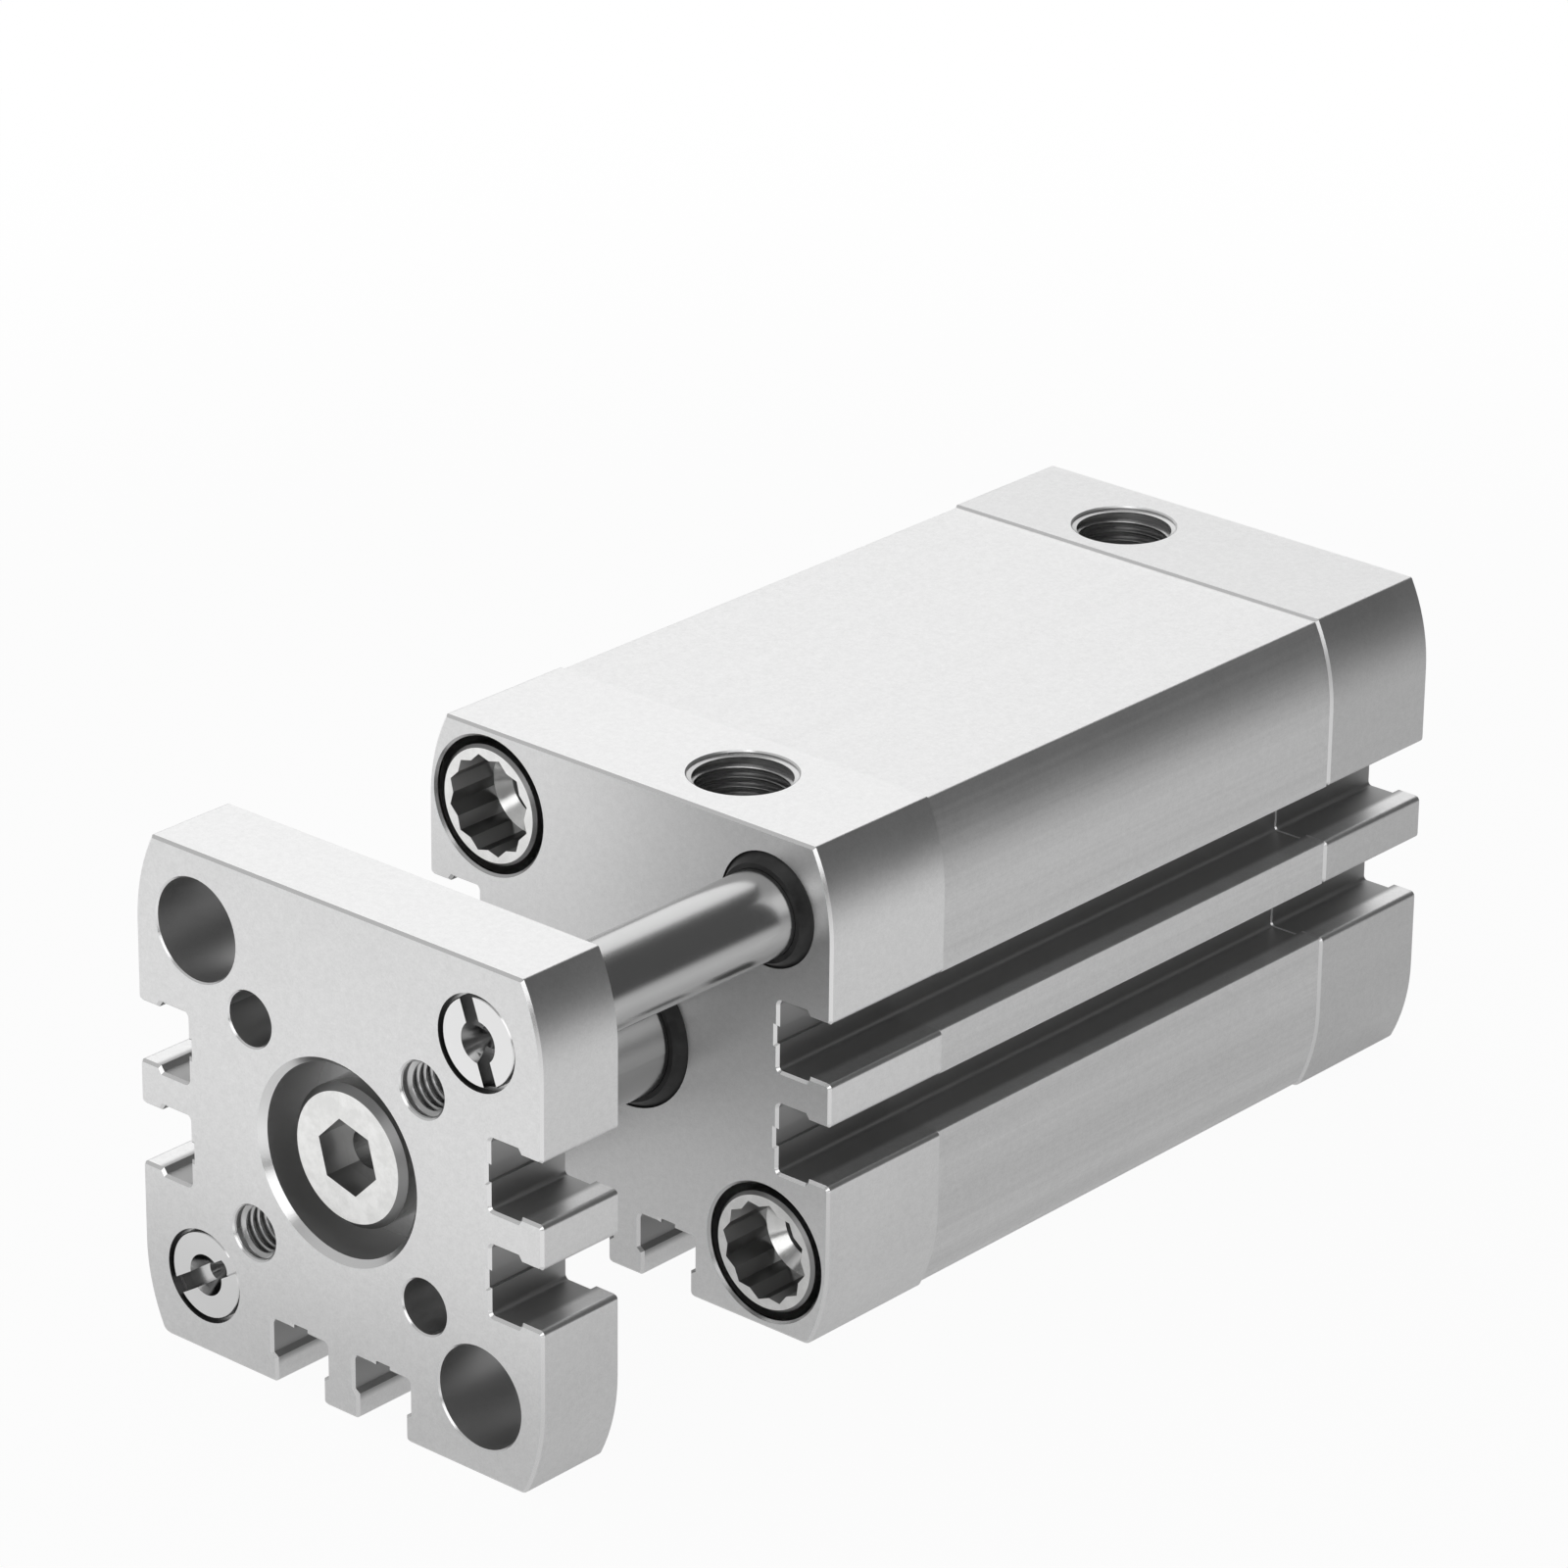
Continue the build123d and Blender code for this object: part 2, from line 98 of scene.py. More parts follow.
class Wire:
    # One socket of a material. Sums and products of wires become Math nodes.
    def __init__(self, tree, socket=None):
        self.tree = tree
        self.socket = socket

    def make(self, kind, settings=None, inputs=None, out=0):
        node = self.tree.nodes.new(kind)
        for key, value in (settings or {}).items():
            setattr(node, key, value)
        for key, value in (inputs or {}).items():
            if isinstance(value, Wire):
                self.tree.links.new(value.socket, node.inputs[key])
            else:
                node.inputs[key].default_value = value
        return Wire(self.tree, node.outputs[out] if node.outputs else None)

    def maths(self, operation, first, second):
        return self.make("ShaderNodeMath", {"operation": operation}, {0: first, 1: second})

    def __add__(self, other):
        return self.maths("ADD", self, other)

    def __radd__(self, other):
        return self.maths("ADD", other, self)

    def __sub__(self, other):
        return self.maths("SUBTRACT", self, other)

    def __rsub__(self, other):
        return self.maths("SUBTRACT", other, self)

    def __mul__(self, other):
        return self.maths("MULTIPLY", self, other)

    def __rmul__(self, other):
        return self.maths("MULTIPLY", other, self)

    def limited(self, low, high):
        # runs from 0 at low to 1 at high, and no further
        return self.make("ShaderNodeMapRange", {"interpolation_type": "SMOOTHSTEP"},
                         {"Value": self, "From Min": low, "From Max": high})

    def limitedMm(self, low, high):
        return self.limited(low * mm, high * mm)

    def swing(self, share):
        # a pattern about a half becomes one about zero, this much of it
        return (self - 0.5) * share


def grey(level):
    return (level, level, level, 1)


def blankMaterial(name):
    material = bpy.data.materials.new(name)
    material.use_nodes = True
    material.node_tree.nodes.clear()
    return material, Wire(material.node_tree)


def spotOn(wire):
    return wire.make("ShaderNodeTexCoord", out="Object")


def facing(wire):
    return wire.make("ShaderNodeTexCoord", out="Normal")


def larger(first, second):
    return first.maths("MAXIMUM", first, second)


def along(vector, way):
    # how far a vector runs in a direction
    return vector.make("ShaderNodeVectorMath", {"operation": "DOT_PRODUCT"},
                       {0: vector, 1: way}, out="Value")


def unsigned(vector):
    return vector.make("ShaderNodeVectorMath", {"operation": "ABSOLUTE"}, {0: vector})


def distance(vector, keep, place):
    # from a place, in the directions that are kept
    flat = vector.make("ShaderNodeVectorMath", {"operation": "MULTIPLY"}, {0: vector, 1: keep})
    return vector.make("ShaderNodeVectorMath", {"operation": "DISTANCE"}, {0: flat, 1: place},
                       out="Value")


def blend(factor, first, second):
    # a colour that goes from first to second with the factor
    return factor.make("ShaderNodeMix", {"data_type": "RGBA"},
                       {"Factor": factor, mixOfColours["first"]: first,
                        mixOfColours["second"]: second}, out=mixOfColours["result"])


def noise(wire, size, detail, roughness=0.5, stretch=(1, 1, 1)):
    # clouds about this many millimetres across, drawn out along an axis by its stretch
    drawn = wire.make("ShaderNodeMapping", None,
                      {"Vector": spotOn(wire), "Scale": tuple(1 / s for s in stretch)})
    return wire.make("ShaderNodeTexNoise", None,
                     {"Vector": drawn, "Scale": 1 / (size * mm), "Detail": detail,
                      "Roughness": roughness})


def bump(height, depth, strength, under=None):
    # height runs from 0 to 1 over this many millimetres
    inputs = {"Height": height, "Distance": depth * mm, "Strength": strength}
    if under:
        inputs["Normal"] = under
    return height.make("ShaderNodeBump", None, inputs)


def close(material, wire, colour, roughness, normal, metallic):
    shader = wire.make("ShaderNodeBsdfPrincipled", None,
                       {"Metallic": metallic, "Base Color": colour, "Roughness": roughness,
                        "Normal": normal})
    wire.make("ShaderNodeOutputMaterial", None, {"Surface": shader})
    return material


# Masks for painted shade where less light gets in: slots, bores, ports and sockets

slants = {                      # 0 on faces across the axis, 1 on walls along it
    "wall": (0.35, 0.55),
    "bevelFrom": (0.12, 0.2),
    "bevelTo": (0.4, 0.5),
}
recess = {
    "flank": (1.6, 2.4),        # depth below a flank where it starts, and where it is complete
    "portMouth": (0.5, 1.0),    # the same below the top
    "portFloor": (14, 15),      # and where it ends under the port
    "port": 5.3,                # radii, from here to the screw pocket
    "screwSocket": 4.95,
    "yokeSocket": 3.8,
    "rodEnd": 4.1,
    "relief": 4.5,
    "screwPocket": (6.3, 6.9),  # between these the pocket's wall stays bright
    "rim": 0.05,                # over which they fade
    "portRim": 0.2,
    "corner": 16.25,            # from the middle to the corner screws and guide rods
    "rodEndDepth": 5.0,
    "rodEndFade": 0.1,
}


def slantOf(wire):
    return 1 - along(unsigned(facing(wire)), yWay)


def sideways(wire):
    # 1 on walls that run along the axis, 0 on faces across it
    return slantOf(wire).limited(*slants["wall"])


def bevels(wire):
    # 1 on the slanted edges between the two
    slant = slantOf(wire)
    return slant.limited(*slants["bevelFrom"]) * (1 - slant.limited(*slants["bevelTo"]))


def within(gap, reach, rim=recess["rim"]):
    return (reach * mm - gap).limitedMm(0, rim)


def slotsAndBores(wire):
    spot = unsigned(spotOn(wire))
    outermost = larger(along(spot, xWay), along(spot, zWay))
    return (halfSize - outermost).limitedMm(*recess["flank"]) * sideways(wire)


def portWells(wire):
    spot = spotOn(wire)
    below = halfSize - along(spot, zWay)
    deep = below.limitedMm(*recess["portMouth"]) * (1 - below.limitedMm(*recess["portFloor"]))
    wells = []
    for mouth in portMouths.values():
        gap = distance(spot, xyPlane, (mouth.x, mouth.y, 0))
        wells.append(within(gap, recess["port"], recess["portRim"]))
    return larger(*wells) * deep


def cornerGap(wire):
    # distance from the nearest of the four corner lines
    corner = recess["corner"] * mm
    return distance(unsigned(spotOn(wire)), xzPlane, (corner, 0, corner))


def screwSockets(wire):
    fromAxis = distance(spotOn(wire), xzPlane, (0, 0, 0))
    return larger(within(cornerGap(wire), recess["screwSocket"]),
                  within(fromAxis, recess["yokeSocket"]))


def rodEnds(wire):
    # painted shade on the slot and centre hole in the end of each guide rod, and on its side in the
    # plate's relief
    behind = along(spotOn(wire), yWay) - (plateFront + recess["rodEndDepth"] * mm)
    near = 1 - behind.limitedMm(-recess["rodEndFade"], 0)
    return within(cornerGap(wire), recess["rodEnd"]) * near * sideways(wire)


def reliefs(wire):
    # the relief round each guide rod, where painted shade goes
    return within(cornerGap(wire), recess["relief"]) * sideways(wire)


def screwPockets(wire):
    low, high = recess["screwPocket"]
    gap = cornerGap(wire)
    return within(gap, high) * (1 - within(gap, low))


# Finishes. Each shade is a share of the tone, and each wear is added to the roughness.

anodising = {
    "grainSize": 0.16, "grainShade": 0.16, "grainBump": 0.35,
    "cloudSize": 9, "cloudShade": 0.10, "cloudWear": 0.10,
    "speckSize": 0.55, "speckShade": 0.18,
    "lineSize": 0.5, "lineLength": 240, "lineWear": 0.12, "lineBump": 0.5,
    "bandSize": 2.6, "bandLength": 300,
    "lineShade": 0.05, "flankLineShade": 0.18,     # the flanks show more of the draw lines
    "flank": (0.6, 0.9),                           # how far a face turns aside to be one
    "paintedEdgeTone": 0.97, "edgeShine": 0.12,
    "recessShadeShare": 0.55, "hiddenWear": 0.14,
    "reliefShadeTone": 0.10,
    "bumpDepth": 0.004,
}


def anodised(name, tone, flank, roughness, lines):
    # clear anodised aluminium: a fine matt grain, soft clouds, and draw lines along the axis
    look = anodising
    material, wire = blankMaterial(name)
    grain = noise(wire, look["grainSize"], detail=2)
    clouds = noise(wire, look["cloudSize"], detail=4, roughness=0.6)
    draw = noise(wire, look["lineSize"], detail=4, roughness=0.7, stretch=(1, look["lineLength"], 1))
    broad = noise(wire, look["bandSize"], detail=2, stretch=(1, look["bandLength"], 1))
    specks = noise(wire, look["speckSize"], detail=3, roughness=0.7)
    side = along(unsigned(facing(wire)), xWay).limited(*look["flank"])
    drawShade = (side * look["flankLineShade"] + look["lineShade"]) * lines
    shade = (clouds.swing(look["cloudShade"]) + grain.swing(look["grainShade"])
             + specks.swing(look["speckShade"]) + (draw + broad - 1.0) * drawShade)
    # painted light and shade: faces turned aside take the flank factor of the tone, lighter or darker
    # than tops and ends
    level = (side * (flank - 1) + 1) * (shade + 1) * tone
    colour = wire.make("ShaderNodeCombineColor", None, {"Red": level, "Green": level, "Blue": level})
    # painted highlight: the chamfers take a brighter tone
    edge = bevels(wire)
    colour = blend(edge, colour, grey(look["paintedEdgeTone"]))
    # painted shade: slots, bores and port wells take a darker share of the tone, apart from the screw
    # pockets' walls
    bores = slotsAndBores(wire) * (1 - screwPockets(wire))
    paintedRecessShade = larger(bores, portWells(wire))
    colour = blend(paintedRecessShade, colour, grey(tone * look["recessShadeShare"]))
    # painted shade: the walls of the relief round each guide rod go nearly black
    colour = blend(reliefs(wire), colour, grey(look["reliefShadeTone"]))
    rough = (clouds.swing(look["cloudWear"]) + draw.swing(look["lineWear"] * lines)
             + paintedRecessShade * look["hiddenWear"] - edge * look["edgeShine"] + roughness)
    fine = bump(grain, look["bumpDepth"], look["grainBump"])
    drawn = bump(draw, look["bumpDepth"], look["lineBump"] * lines, fine)
    return close(material, wire, colour, rough, drawn, metallic=1.0)


grinding = {
    "ringSize": 0.06, "ringLength": 60, "ringWear": 0.10, "ringDepth": 0.001,
    "cloudSize": 3, "cloudShade": 0.04, "cloudWear": 0.06,
    "rodEndShadeShare": 0.40,
}


def polished(name, tone, roughness, marks, endTone):
    # ground steel with fine rings round the axis, and its own tone on turned ends
    look = grinding
    material, wire = blankMaterial(name)
    rings = noise(wire, look["ringSize"], detail=2, roughness=0.6,
                  stretch=(look["ringLength"], 1, look["ringLength"]))
    clouds = noise(wire, look["cloudSize"], detail=3)
    rough = rings.swing(look["ringWear"]) + clouds.swing(look["cloudWear"]) + roughness
    side = blend(clouds, grey(tone * (1 - look["cloudShade"])), grey(tone * (1 + look["cloudShade"])))
    colour = blend(sideways(wire), grey(endTone), side)
    # painted shade at the guide rods' ends
    colour = blend(rodEnds(wire), colour, grey(tone * look["rodEndShadeShare"]))
    ground = bump(rings, look["ringDepth"], marks)
    return close(material, wire, colour, rough, ground, metallic=1.0)


plating = {
    "stainSize": 1.4, "stained": (0.35, 0.68), "stainWear": 0.10, "stainBump": 0.6,
    "pitSize": 0.22, "pitWear": 0.06, "pitBump": 0.4,
    "upward": (0.2, 0.9), "upwardShare": 0.55,     # a socket's walls that face up see less light
    "paintedEdgeTone": 0.34, "edgeWear": 0.24,
    "socketWear": 0.22,
    "bumpDepth": 0.008, "bumpStrength": 0.25,
}


def plated(name, low, high, roughness, socketShadeTone):
    # bright plating over a turned and forged screw, with faint stains
    look = plating
    material, wire = blankMaterial(name)
    stains = noise(wire, look["stainSize"], detail=4, roughness=0.6)
    pits = noise(wire, look["pitSize"], detail=2)
    colour = blend(stains.limited(*look["stained"]), low, high)
    socket = screwSockets(wire)
    # painted shade: a socket's walls take a dark tone, darker still where they face up
    inside = socket * sideways(wire)
    upward = along(facing(wire), zWay).limited(*look["upward"])
    walls = blend(upward, grey(socketShadeTone), grey(socketShadeTone * look["upwardShare"]))
    colour = blend(inside, colour, walls)
    # painted shade: the screws' bevels outside the sockets take a dark tone
    edge = bevels(wire) * (1 - socket)
    colour = blend(edge, colour, grey(look["paintedEdgeTone"]))
    rough = (stains.swing(look["stainWear"]) + pits.swing(look["pitWear"])
             + edge * look["edgeWear"] + inside * look["socketWear"] + roughness)
    facets = wire.make("ShaderNodeNewGeometry", out="True Normal")
    rounds = wire.make("ShaderNodeNewGeometry", out="Normal")
    shape = wire.make("ShaderNodeMix", {"data_type": "VECTOR"},
                      {"Factor": inside, mixOfVectors["first"]: rounds,
                       mixOfVectors["second"]: facets}, out=mixOfVectors["result"])
    dull = bump(stains * look["stainBump"] + pits * look["pitBump"], look["bumpDepth"],
                look["bumpStrength"], shape)
    return close(material, wire, colour, rough, dull, metallic=1.0)


moulding = {
    "cloudSize": 9,             # times the grain's
    "mottled": (0.3, 0.7),
    "cloudWear": 0.14, "grainWear": 0.08, "bumpStrength": 0.6,
}


def moulded(name, low, high, roughness, grainSize, depth):
    # rubber, plastic or bonded magnet: not a metal
    look = moulding
    material, wire = blankMaterial(name)
    grain = noise(wire, grainSize, detail=3)
    clouds = noise(wire, grainSize * look["cloudSize"], detail=2)
    colour = blend(clouds.limited(*look["mottled"]), low, high)
    rough = clouds.swing(look["cloudWear"]) + grain.swing(look["grainWear"]) + roughness
    grained = bump(grain, depth, look["bumpStrength"])
    return close(material, wire, colour, rough, grained, metallic=0.0)


finishes = {
    "anodised_body": anodised("capAluminium", tone=0.875, flank=1.05, roughness=0.34, lines=0.15),
    "anodised_plate": anodised("plateAluminium", tone=0.87, flank=1.00, roughness=0.34, lines=0.1),
    "rod_steel": polished("groundSteel", tone=0.61, roughness=0.20, marks=0.25, endTone=0.94),
    "plated_screw": plated("platedSteel", low=(0.86, 0.86, 0.85, 1), high=(0.96, 0.96, 0.95, 1),
                           roughness=0.16, socketShadeTone=0.42),
    "piston_metal": polished("turnedAluminium", tone=0.76, roughness=0.30, marks=0.5, endTone=0.80),
    "bush_metal": plated("bearingBronze", low=(0.40, 0.28, 0.16, 1), high=(0.58, 0.44, 0.26, 1),
                         roughness=0.36, socketShadeTone=0.3),
    "black_rubber": moulded("sealRubber", low=grey(0.012), high=grey(0.028), roughness=0.48,
                            grainSize=0.12, depth=0.01),
    "magnet_compound": moulded("bondedMagnet", low=(0.03, 0.03, 0.033, 1),
                               high=(0.06, 0.06, 0.065, 1), roughness=0.6, grainSize=0.2,
                               depth=0.02),
    "band_plastic": moulded("bearingPlastic", low=(0.15, 0.12, 0.09, 1), high=(0.22, 0.18, 0.13, 1),
                            roughness=0.5, grainSize=0.2, depth=0.01),
}
ownFinishes = {                 # nodes that look unlike the rest of their slot
    "barrel": anodised("barrelAluminium", tone=0.93, flank=0.92, roughness=0.43, lines=1.0),
    "end_cap": anodised("endAluminium", tone=0.88, flank=0.87, roughness=0.43, lines=0.3),
    # the piston rod's sides take a low tone: painted shade between the plate and the cap
    "piston_rod": polished("shadedChromeSteel", tone=0.44, roughness=0.20, marks=0.25, endTone=0.80),
    "yoke_screw": plated("yokeSteel", low=(0.84, 0.84, 0.83, 1), high=(0.97, 0.97, 0.96, 1),
                         roughness=0.14, socketShadeTone=0.40),
}
cutAluminium = polished("cutAluminium", tone=0.62, roughness=0.24, marks=0.2, endTone=0.62)

slotOf = {row["node"]: row["material_slot"] for row in frame["record"]["subparts"]}
for name, node in nodes.items():
    node.material_slots[0].material = ownFinishes.get(name, finishes[slotOf[name]])
print("finishes given to", len(nodes), "nodes")


# Threads, each a ridge that climbs the wall of its hole

def selectWhere(piece, test):
    # in edit mode, selects the points that pass the test and nothing else
    bpy.ops.mesh.select_all(action="DESELECT")
    bpy.ops.object.mode_set(mode="OBJECT")
    for point in piece.data.vertices:
        point.select = test(point.co)
    bpy.ops.object.mode_set(mode="EDIT")


def setIn(piece, place, towards):
    # turns a piece made about Z to its hole's direction and puts it in place
    piece.rotation_mode = "QUATERNION"
    piece.rotation_quaternion = Vector(zWay).rotation_difference(towards)
    piece.location = place
    bpy.ops.object.transform_apply(location=True, rotation=True, scale=True)
    bpy.ops.object.shade_smooth_by_angle(angle=math.radians(smoothBelow))
    nothingSelected()


def fadeEnds(ridge, sizes):
    # the crest runs out into the wall over a part of a turn at each end
    fade = round(sizes["steps"] * sizes["fade"])
    sections = len(ridge.data.vertices) // ridgeCorners
    crestReach = (sizes["minor"] + sizes["slack"]) * mm
    bpy.ops.object.mode_set(mode="EDIT")
    for step in range(fade):
        share = 1 - step / fade
        grow = 1 + share * (sizes["major"] / sizes["minor"] - 1)
        for section in (step, sections - 1 - step):
            bpy.ops.mesh.select_all(action="DESELECT")
            bpy.ops.object.mode_set(mode="OBJECT")
            for corner in range(ridgeCorners):
                point = ridge.data.vertices[section * ridgeCorners + corner]
                point.select = math.hypot(point.co.x, point.co.y) < crestReach
            bpy.ops.object.mode_set(mode="EDIT")
            bpy.ops.transform.resize(value=(grow, grow, 1), center_override=(0, 0, 0))
    bpy.ops.object.mode_set(mode="OBJECT")


def threadRidge(name, sizes, mouth, towards):
    # starts down in the hole and climbs towards its mouth
    turns = sizes["length"] / sizes["pitch"] - sizes["base"]
    depth = sizes["major"] - sizes["minor"] + sizes["bite"]
    centre = sizes["major"] + sizes["bite"] - depth / 2
    bpy.ops.mesh.primitive_plane_add(size=mm, location=(centre * mm, 0, 0),
                                     rotation=(math.radians(90), 0, 0))
    ridge = bpy.context.object
    ridge.name = name
    ridge.scale = (depth, sizes["base"] * sizes["pitch"], 1)
    bpy.ops.object.transform_apply(location=True, rotation=True, scale=True)
    bpy.ops.object.mode_set(mode="EDIT")
    selectWhere(ridge, lambda spot: spot.x < centre * mm)
    crestAt = ((centre - depth / 2) * mm, 0, 0)
    bpy.ops.transform.resize(value=(1, 1, sizes["crest"] / sizes["base"]), center_override=crestAt)
    bpy.ops.mesh.select_all(action="SELECT")
    bpy.ops.mesh.delete(type="ONLY_FACE")
    bpy.ops.object.mode_set(mode="OBJECT")
    wind = ridge.modifiers.new("wind", "SCREW")
    wind.axis = "Z"
    wind.angle = 2 * math.pi * turns
    wind.screw_offset = sizes["pitch"] * turns * mm
    wind.steps = wind.render_steps = round(sizes["steps"] * turns)
    bpy.ops.object.modifier_apply(modifier="wind")
    fadeEnds(ridge, sizes)
    bpy.ops.object.mode_set(mode="EDIT")
    bpy.ops.mesh.select_all(action="SELECT")
    bpy.ops.mesh.fill_holes(sides=ridgeCorners)
    bpy.ops.mesh.normals_make_consistent(inside=False)
    bpy.ops.object.mode_set(mode="OBJECT")
    ease = ridge.modifiers.new("ease", "BEVEL")
    ease.width = sizes["round"] * mm
    ease.segments = sizes["roundSteps"]
    ease.limit_method = "ANGLE"
    ease.angle_limit = math.radians(sizes["roundFrom"])
    bpy.ops.object.modifier_apply(modifier="ease")
    bottom = mouth - towards * (sizes["start"] * mm)
    setIn(ridge, bottom + towards * (sizes["base"] / 2 * sizes["pitch"] * mm), towards)
    return ridge


def mouthLip(name, sizes, mouth, towards):
    # the edge that a countersink leaves of the first turn: a ring with a cone outside
    bpy.ops.mesh.primitive_circle_add(vertices=lipSides, radius=sizes["outer"] * mm,
                                      location=(0, 0, -sizes["top"] * mm))
    lip = bpy.context.object
    lip.name = name
    bpy.ops.object.transform_apply(location=True)
    bpy.ops.object.mode_set(mode="EDIT")
    bpy.ops.mesh.select_all(action="SELECT")
    narrow = sizes["inner"] / sizes["outer"]
    for drop, share in ((sizes["fall"], narrow), (sizes["land"], 1), (sizes["fall"], 1 / narrow)):
        bpy.ops.mesh.extrude_region_move(TRANSFORM_OT_translate={"value": (0, 0, -drop * mm)})
        bpy.ops.transform.resize(value=(share, share, 1), center_override=(0, 0, 0))
    between = (sizes["inner"] + sizes["outer"]) / 2 * mm
    selectWhere(lip, lambda spot: math.hypot(spot.x, spot.y) > between)
    bpy.ops.mesh.bridge_edge_loops()
    bpy.ops.mesh.select_all(action="SELECT")
    bpy.ops.mesh.normals_make_consistent(inside=False)
    bpy.ops.object.mode_set(mode="OBJECT")
    setIn(lip, mouth, towards)
    return lip


smoothBelow = 30                # degrees between faces
ridgeCorners = 4
lipSides = 96

# start is how far below the mouth a thread begins, base and crest are shares of its pitch, bite is
# how far it sinks into the wall, steps are those of one turn, fade is a share of one, slack is how
# far from the crest a point still belongs to it, and round is the bevel along its edges
ridgeShape = {"base": 0.86, "crest": 0.22, "bite": 0.02, "steps": 32, "fade": 0.3, "slack": 0.05,
              "round": 0.07, "roundSteps": 3, "roundFrom": 40}
portThread = {"major": 4.864, "minor": 4.283, "pitch": 0.907, "length": 5.5, "start": 5.8}
fixingThread = {"major": 3.0, "minor": 2.5, "pitch": 1.0, "length": 5.0, "start": 11.2}
directThread = {**fixingThread, "length": 11.6, "start": 12.0}
toolThread = {"major": 2.5, "minor": 2.1, "pitch": 0.8, "length": 9.0, "start": 9.15}

portLip = {"outer": 4.87, "inner": 4.45, "top": 0.30, "fall": 0.12, "land": 0.08}
toolLip = {"outer": 2.51, "inner": 2.42, "top": 0.15, "fall": 0.12, "land": 0.06}
pocketLip = {"outer": 6.62, "inner": 6.36, "top": 0.0, "fall": 0.22, "land": 0.25}

toolOffset = 10.0 * mm
up = Vector(zWay)
forward = Vector((0, -1, 0))    # towards the yoke plate
rearward = Vector(yWay)
holes = []


def tapHole(name, thread, mouth, towards, body, slotName):
    ridge = threadRidge(name, {**ridgeShape, **thread}, mouth, towards)
    holes.append((ridge, body, slotName))


def edgeHole(name, lip, mouth, towards, body, slotName):
    holes.append((mouthLip(name, lip, mouth, towards), body, slotName))


for end, mouth in portMouths.items():
    tapHole(end + "PortThread", portThread, mouth, up, "housing", "anodised_body")
    edgeHole(end + "PortLip", portLip, mouth, up, "housing", "anodised_body")
for end, face, outwards in (("front", frontFace, forward), ("rear", rearFace, rearward)):
    for level in ("upper", "lower"):
        mouth = middle(end + "_screw_" + level)
        mouth.y = face
        place = end + level.capitalize()
        tapHole(place + "FixingThread", fixingThread, mouth, outwards, "housing", "plated_screw")
        edgeHole(place + "PocketLip", pocketLip, mouth, outwards, "housing", "anodised_body")
for level in ("upper", "lower"):
    mouth = middle("front_screw_" + level)
    mouth.y = rearFace
    tapHole(level + "DirectThread", directThread, mouth, rearward, "housing", "anodised_body")
for level, side in (("upper", 1), ("lower", -1)):
    mouth = Vector((side * toolOffset, plateFront, side * toolOffset))
    tapHole(level + "ToolThread", toolThread, mouth, forward, "yoke", "anodised_plate")
    edgeHole(level + "ToolLip", toolLip, mouth, forward, "yoke", "anodised_plate")

for piece, body, slotName in holes:
    steel = slotName == "plated_screw"
    piece.data.materials.append(finishes["plated_screw"] if steel else cutAluminium)
    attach(piece, body)
print("threads and lips cut:", len(holes))


# Studio

studio = {
    "floorHalf": 0.9,
    "floorTone": 0.82,
    "floorWhite": 0.95,         # how much of the camera's floor is plain white, the rest takes shadow
    "floorMiddle": (0, -0.06, 0),
    "plainFrom": (0.14, 0.34),  # outwards from there, until all of it is white
    "floorShine": 0.66,         # how much of the metal's floor is light of its own
    "floorNear": 1.10,          # that light on the left
    "floorFar": 0.02,           # and far out on the right, where it falls off
    "fallsTo": (0.93, 0.37, 0.0),
    "fallsOver": (-0.15, 0.48),
    # the foot and front shades below are painted shadow in the floor's glow that metal sees
    "footShade": 0.36,          # how much of it the object takes away from the floor beside it
    "footMiddle": (-0.015, 0, 0),
    "footSide": (0.048, 0.095),
    "footFront": (-0.156, -0.128),
    "frontShade": 0.12,         # and how much is missing far in front of it
    "frontFar": (-0.220, -0.150),
    "dimSide": 0.10,            # the room's light, away from its lit side and on it
    "litSide": 0.46,
    "towardsLit": (-0.80, -0.40, 0.45),
    "roomTurn": (-0.2, 0.9),
}
lamps = {
    "backLeftBox": {"place": (-0.74, 0.80, 0.71), "aim": (0, -0.05, 0), "size": (1.5, 0.95),
                    "brightness": 0.79},
    "cameraSide": {"place": (0.72, -1.05, 0.50), "aim": (0, -0.08, 0), "size": (1.0, 0.8),
                   "brightness": 1.0},
    "topBox": {"place": (0.15, -0.15, 1.2), "aim": (0, -0.05, 0), "size": (0.8, 0.8),
               "brightness": 1.1},
}


def softbox(name, place, aim, size, brightness):
    # a lamp that looks as bright as white paper in full light at brightness 1
    width, height = size
    light = bpy.data.lights.new(name, "AREA")
    light.shape = "RECTANGLE"
    light.size = width
    light.size_y = height
    light.energy = brightness * math.pi * width * height
    lamp = bpy.data.objects.new(name, light)
    lamp.location = place
    lamp.rotation_mode = "QUATERNION"
    lamp.rotation_quaternion = (Vector(aim) - Vector(place)).to_track_quat("-Z", "Y")
    bpy.context.scene.collection.objects.link(lamp)


def floorLight(spot):
    # what metal sees of the floor: a painted glow that falls off to the right, with painted shadow
    # near the object's foot and far in front of it
    away = along(spot, studio["fallsTo"]).limited(*studio["fallsOver"])
    light = blend(away, grey(studio["floorNear"]), grey(studio["floorFar"]))
    aside = distance(spot, xWay, studio["footMiddle"]).limited(*studio["footSide"])
    beside = along(spot, yWay).limited(*studio["footFront"])
    foot = (1 - aside) * beside * studio["footShade"]
    front = (1 - along(spot, yWay).limited(*studio["frontFar"])) * studio["frontShade"]
    return blend(foot + front, light, grey(0))


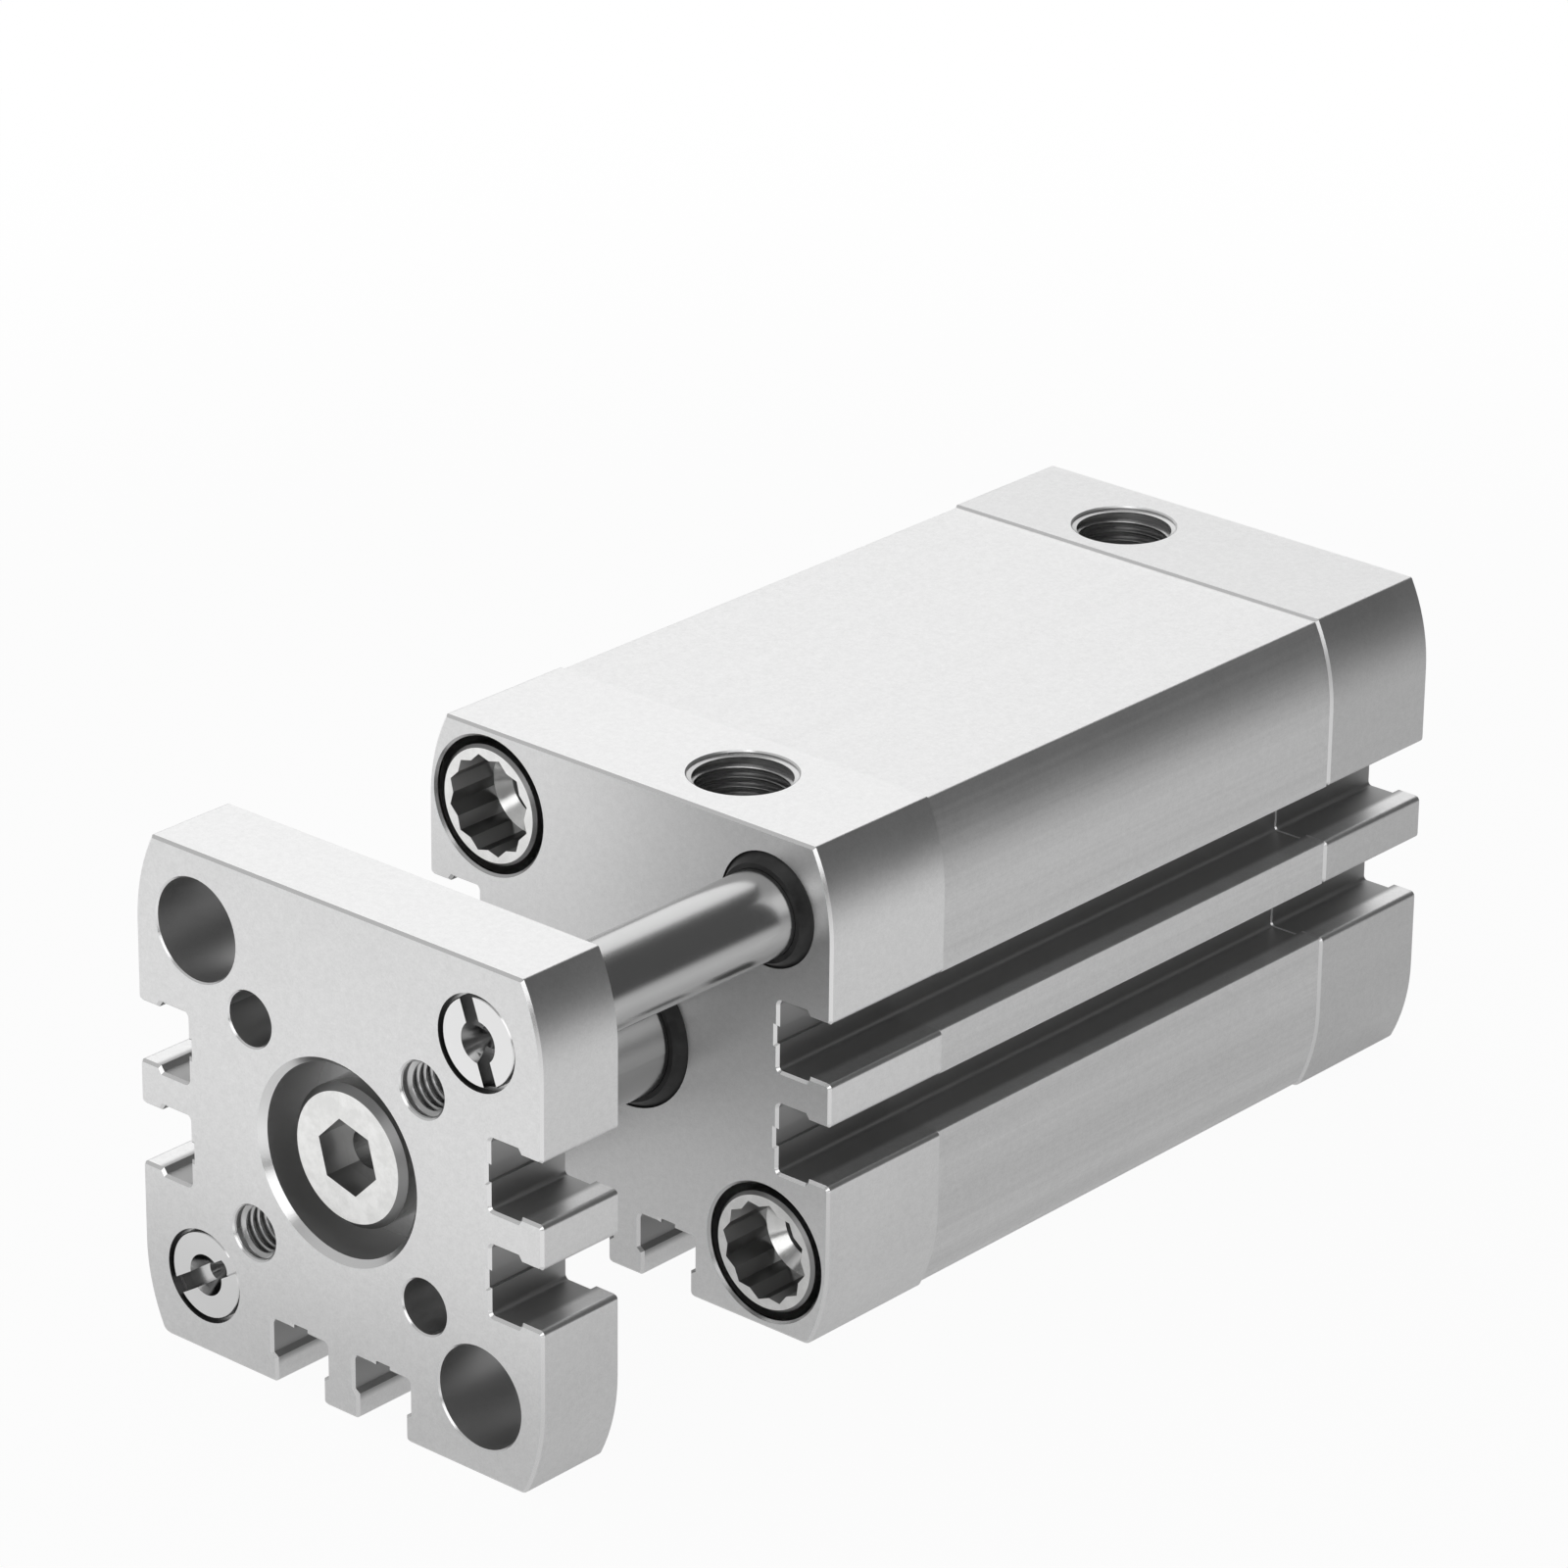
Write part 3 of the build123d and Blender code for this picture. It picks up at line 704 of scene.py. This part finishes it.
def floorMaterial():
    # white for the camera apart from a share that takes the shadow; metal sees it fall off
    material, wire = blankMaterial("floorPaper")
    paper = wire.make("ShaderNodeBsdfDiffuse", None, {"Color": grey(studio["floorTone"])})
    spot = spotOn(wire)
    camera = wire.make("ShaderNodeLightPath", out="Is Camera Ray")
    glossy = wire.make("ShaderNodeLightPath", out="Is Glossy Ray")
    white = wire.make("ShaderNodeEmission", None,
                      {"Color": blend(camera, floorLight(spot), grey(1)), "Strength": 1.0})
    plain = distance(spot, xyPlane, studio["floorMiddle"]).limited(*studio["plainFrom"])
    whiteShare = plain * (1 - studio["floorWhite"]) + studio["floorWhite"]
    share = camera * whiteShare + glossy * studio["floorShine"]
    mixed = wire.make("ShaderNodeMixShader", None, {0: share, 1: paper, 2: white})
    under = wire.make("ShaderNodeNewGeometry", out="Backfacing")
    clear = wire.make("ShaderNodeBsdfTransparent")
    both = wire.make("ShaderNodeMixShader", None, {0: under, 1: mixed, 2: clear})
    wire.make("ShaderNodeOutputMaterial", None, {"Surface": both})
    return material


def buildWorld():
    world = bpy.data.worlds.new("studioWorld")
    bpy.context.scene.world = world
    world.use_nodes = True
    world.node_tree.nodes.clear()
    wire = Wire(world.node_tree)
    direction = wire.make("ShaderNodeTexCoord", out="Generated")
    lit = along(direction, studio["towardsLit"]).limited(*studio["roomTurn"])
    room = blend(lit, grey(studio["dimSide"]), grey(studio["litSide"]))
    camera = wire.make("ShaderNodeLightPath", out="Is Camera Ray")
    background = wire.make("ShaderNodeBackground", None,
                           {"Color": blend(camera, room, grey(1)), "Strength": 1.0})
    wire.make("ShaderNodeOutputWorld", None, {"Surface": background})


bpy.ops.mesh.primitive_plane_add(size=2 * studio["floorHalf"], location=(0, 0, cadBox[0].z))
floor = bpy.context.object
floor.name = "floor"
floor.data.materials.append(floorMaterial())
nothingSelected()
buildWorld()
for name, lamp in lamps.items():
    softbox(name, **lamp)
print("studio built")


# Camera, from the photograph's view

cameraFit = {
    "place": (0.364869, -0.482346, 0.256015),
    "aim": (-0.002938, -0.060000, 0.014604),
    "roll": 0.63,               # degrees
    "lens": 157.87,
    "sensor": 36.0,
    "clipStart": 0.01,
}
camera = bpy.data.objects.new("camera", bpy.data.cameras.new("camera"))
bpy.context.scene.collection.objects.link(camera)
camera.data.lens = cameraFit["lens"]
camera.data.sensor_width = cameraFit["sensor"]
camera.data.clip_start = cameraFit["clipStart"]
camera.location = cameraFit["place"]
camera.rotation_mode = "QUATERNION"
sight = Vector(cameraFit["aim"]) - Vector(cameraFit["place"])
turn = Quaternion(zWay, math.radians(cameraFit["roll"]))
camera.rotation_quaternion = sight.to_track_quat("-Z", "Y") @ turn
bpy.context.scene.camera = camera
bpy.context.scene.view_settings.view_transform = "Standard"
print("camera placed")
